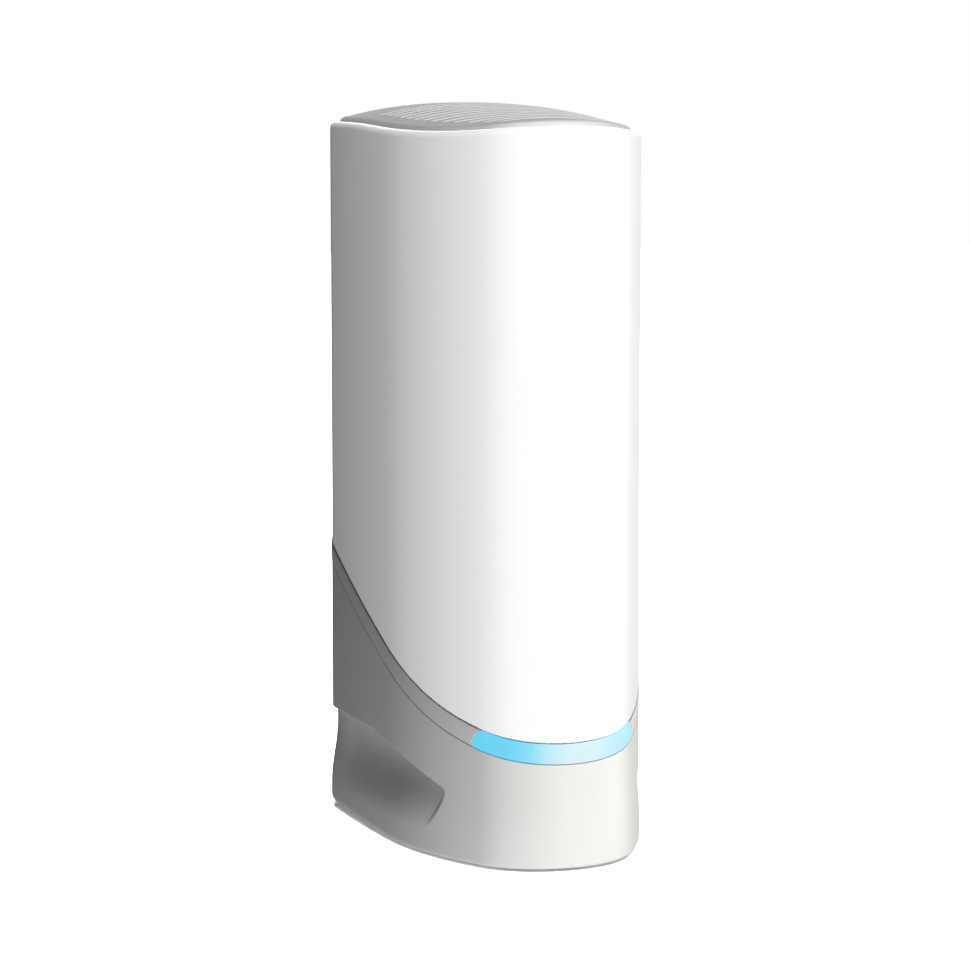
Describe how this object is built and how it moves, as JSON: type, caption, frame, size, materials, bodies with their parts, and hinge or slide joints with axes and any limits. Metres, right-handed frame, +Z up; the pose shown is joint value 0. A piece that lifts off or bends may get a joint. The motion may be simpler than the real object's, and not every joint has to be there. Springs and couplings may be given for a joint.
{
  "type": "cable modem",
  "caption": "Upright cable modem with a tapering rounded casing, crowned slotted vent, flared base, lit front strip and a rear bay of stacked sockets.",
  "frame": {"origin": "middle of the footprint, on the surface that the modem stands on", "axes": "+Z up, the front with the lit strip towards -Y, the connector bay towards +Y, +X to the right as seen from the front"},
  "size_m": [0.0818, 0.1166, 0.2117],
  "materials": {
    "white_plastic": "satin, finely moulded",
    "grey_plastic": "satin",
    "vent_plastic": "satin",
    "lit_lens": "frosted, lit from behind",
    "clear_acrylic": "clear, polished",
    "rubber": "matt",
    "steel": "zinc plated",
    "circuit_board": "solder mask",
    "frame_plastic": "plain moulded",
    "black_plastic": "plain moulded",
    "lamp_white": "plain moulded",
    "pad_grey": "soft, matt",
    "label_paper": "coated, blank",
    "nickel": "nickel plated",
    "gold": "gold plated",
    "aluminium": "extruded, bare",
    "button_plastic": "plain moulded"
  },
  "bodies": {
    "housing": {"base_housing": "grey_plastic", "base_plate": "grey_plastic", "foot_pad_front_left": "rubber", "foot_pad_front_right": "rubber", "foot_pad_rear_left": "rubber", "foot_pad_rear_right": "rubber", "base_screw_front_left": "steel", "base_screw_front_right": "steel", "base_screw_rear_left": "steel", "base_screw_rear_right": "steel", "trim_band": "grey_plastic", "light_lens": "lit_lens", "light_guide": "clear_acrylic", "led_board": "circuit_board", "led_1": "lamp_white", "led_2": "lamp_white", "led_3": "lamp_white", "led_4": "lamp_white", "front_shell": "white_plastic", "top_vent": "vent_plastic", "rear_cover": "grey_plastic", "rating_label": "label_paper", "main_board": "circuit_board", "board_carrier": "frame_plastic", "board_screw_lower_front": "steel", "board_screw_lower_rear": "steel", "board_screw_upper_front": "steel", "board_screw_upper_rear": "steel", "main_chip": "black_plastic", "thermal_pad": "pad_grey", "main_heat_sink": "aluminium", "memory_chip": "black_plastic", "flash_chip": "black_plastic", "ethernet_chip": "black_plastic", "power_chip": "black_plastic", "crystal": "nickel", "magnetics_1": "black_plastic", "magnetics_2": "black_plastic", "power_inductor": "black_plastic", "tuner_shield": "nickel", "power_capacitor_1": "aluminium", "power_capacitor_2": "aluminium", "ethernet_jack_1": "nickel", "ethernet_contacts_1": "gold", "ethernet_jack_2": "nickel", "ethernet_contacts_2": "gold", "coax_connector": "nickel", "coax_insulator": "lamp_white", "coax_washer": "steel", "coax_nut": "nickel", "power_jack": "black_plastic", "power_pin": "nickel", "reset_switch": "black_plastic"},
    "reset_button": {"reset_button": "button_plastic"}
  },
  "joints": [
    {"name": "reset_press", "type": "slide", "parent": "housing", "child": "reset_button", "axis": [0, -1, 0], "range_m": [0, 0.0005], "stiffness_N_per_m": 400}
  ]
}
